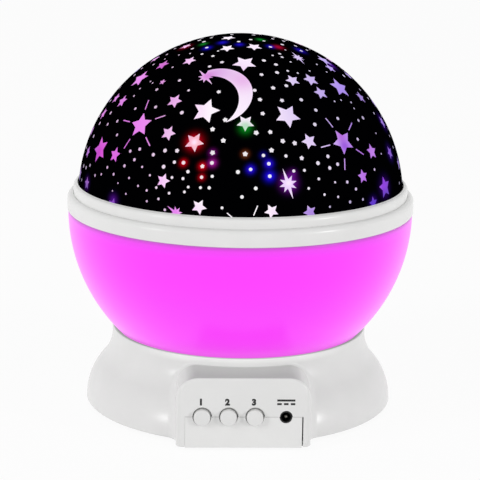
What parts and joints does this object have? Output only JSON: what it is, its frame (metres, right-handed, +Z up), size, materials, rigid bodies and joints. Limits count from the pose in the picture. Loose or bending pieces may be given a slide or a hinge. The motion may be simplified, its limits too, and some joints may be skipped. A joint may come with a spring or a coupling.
{
  "type": "star night light projector",
  "caption": "Star night light: a flared base with a control pod carries a turning bowl and ring under a perforated dome that throws stars.",
  "frame": {"origin": "middle of the footprint, on the table under the rubber feet", "axes": "+Z up along the turning axis, -Y towards the face of the control pod, +X to its right"},
  "size_m": [0.13, 0.13, 0.1402],
  "materials": {
    "white_abs": "glossy moulded ABS",
    "button_abs": "fine satin ABS",
    "rubber": "matt rubber",
    "steel": "plated steel",
    "nickel": "nickel plate",
    "circuit_board": "solder mask",
    "lamp_board": "white solder mask",
    "black_plastic": "moulded",
    "white_acetal": "moulded acetal",
    "pinion_brass": "cut brass",
    "warm_lens": "clear epoxy",
    "red_lens": "tinted epoxy",
    "green_lens": "tinted epoxy",
    "blue_lens": "tinted epoxy",
    "wire_sleeve": "PVC sleeve",
    "pink_bowl": "translucent, lit from inside",
    "clear_dome": "clear with a light frost",
    "black_mask": "polished black"
  },
  "bodies": {
    "base": {"base_shell": "white_abs", "base_plate": "white_abs", "rubber_feet": "rubber", "case_screws": "steel", "battery_box": "white_abs", "battery_contacts": "nickel", "battery_springs": "nickel", "switch_board": "circuit_board", "board_parts": "black_plastic", "switch_housings": "black_plastic", "dc_jack": "black_plastic", "jack_pin": "nickel", "gear_motor": "steel", "motor_screws": "steel", "thrust_washer": "white_acetal", "led_post": "white_abs", "post_screws": "steel", "led_board": "lamp_board", "warm_led": "warm_lens", "red_led": "red_lens", "green_led": "green_lens", "blue_led": "blue_lens", "led_wires": "wire_sleeve"},
    "sphere": {"drive_gear": "white_acetal", "bowl": "pink_bowl", "bowl_screws": "steel", "bowl_ring": "white_abs"},
    "star_lid": {"lid_bayonet": "white_abs", "lid_ring": "white_abs", "dome_shell": "clear_dome", "star_mask": "black_mask"},
    "pinion": {"motor_shaft": "steel", "motor_pinion": "pinion_brass"},
    "door": {"battery_door": "white_abs"},
    "light_key": {"light_button": "button_abs", "light_plunger": "black_plastic"},
    "colour_key": {"colour_button": "button_abs", "colour_plunger": "black_plastic"},
    "spin_key": {"spin_button": "button_abs", "spin_plunger": "black_plastic"}
  },
  "joints": [
    {"name": "sphere_spin", "type": "hinge", "parent": "base", "child": "sphere", "pos_m": [0, 0, 0.01808], "axis": [0, 0, 1], "continuous": true},
    {"name": "pinion_spin", "type": "hinge", "parent": "base", "child": "pinion", "pos_m": [0.0328, 0, 0.01808], "axis": [0, 0, 1], "continuous": true},
    {"name": "lid_twist", "type": "hinge", "parent": "sphere", "child": "star_lid", "pos_m": [0, 0, 0.0814], "axis": [0, 0, 1], "range_deg": [0, 24]},
    {"name": "door_swing", "type": "hinge", "parent": "base", "child": "door", "pos_m": [0, 0.029, 0.0019], "axis": [1, 0, 0], "range_deg": [0, 70]},
    {"name": "light_press", "type": "slide", "parent": "base", "child": "light_key", "axis": [0, 1, 0], "range_m": [0, 0.0006], "stiffness_N_per_m": 400},
    {"name": "colour_press", "type": "slide", "parent": "base", "child": "colour_key", "axis": [0, 1, 0], "range_m": [0, 0.0006], "stiffness_N_per_m": 400},
    {"name": "spin_press", "type": "slide", "parent": "base", "child": "spin_key", "axis": [0, 1, 0], "range_m": [0, 0.0006], "stiffness_N_per_m": 400}
  ],
  "couplings": [
    {"joint": "pinion_spin", "follows": "sphere_spin", "ratio": -5.8333}
  ]
}
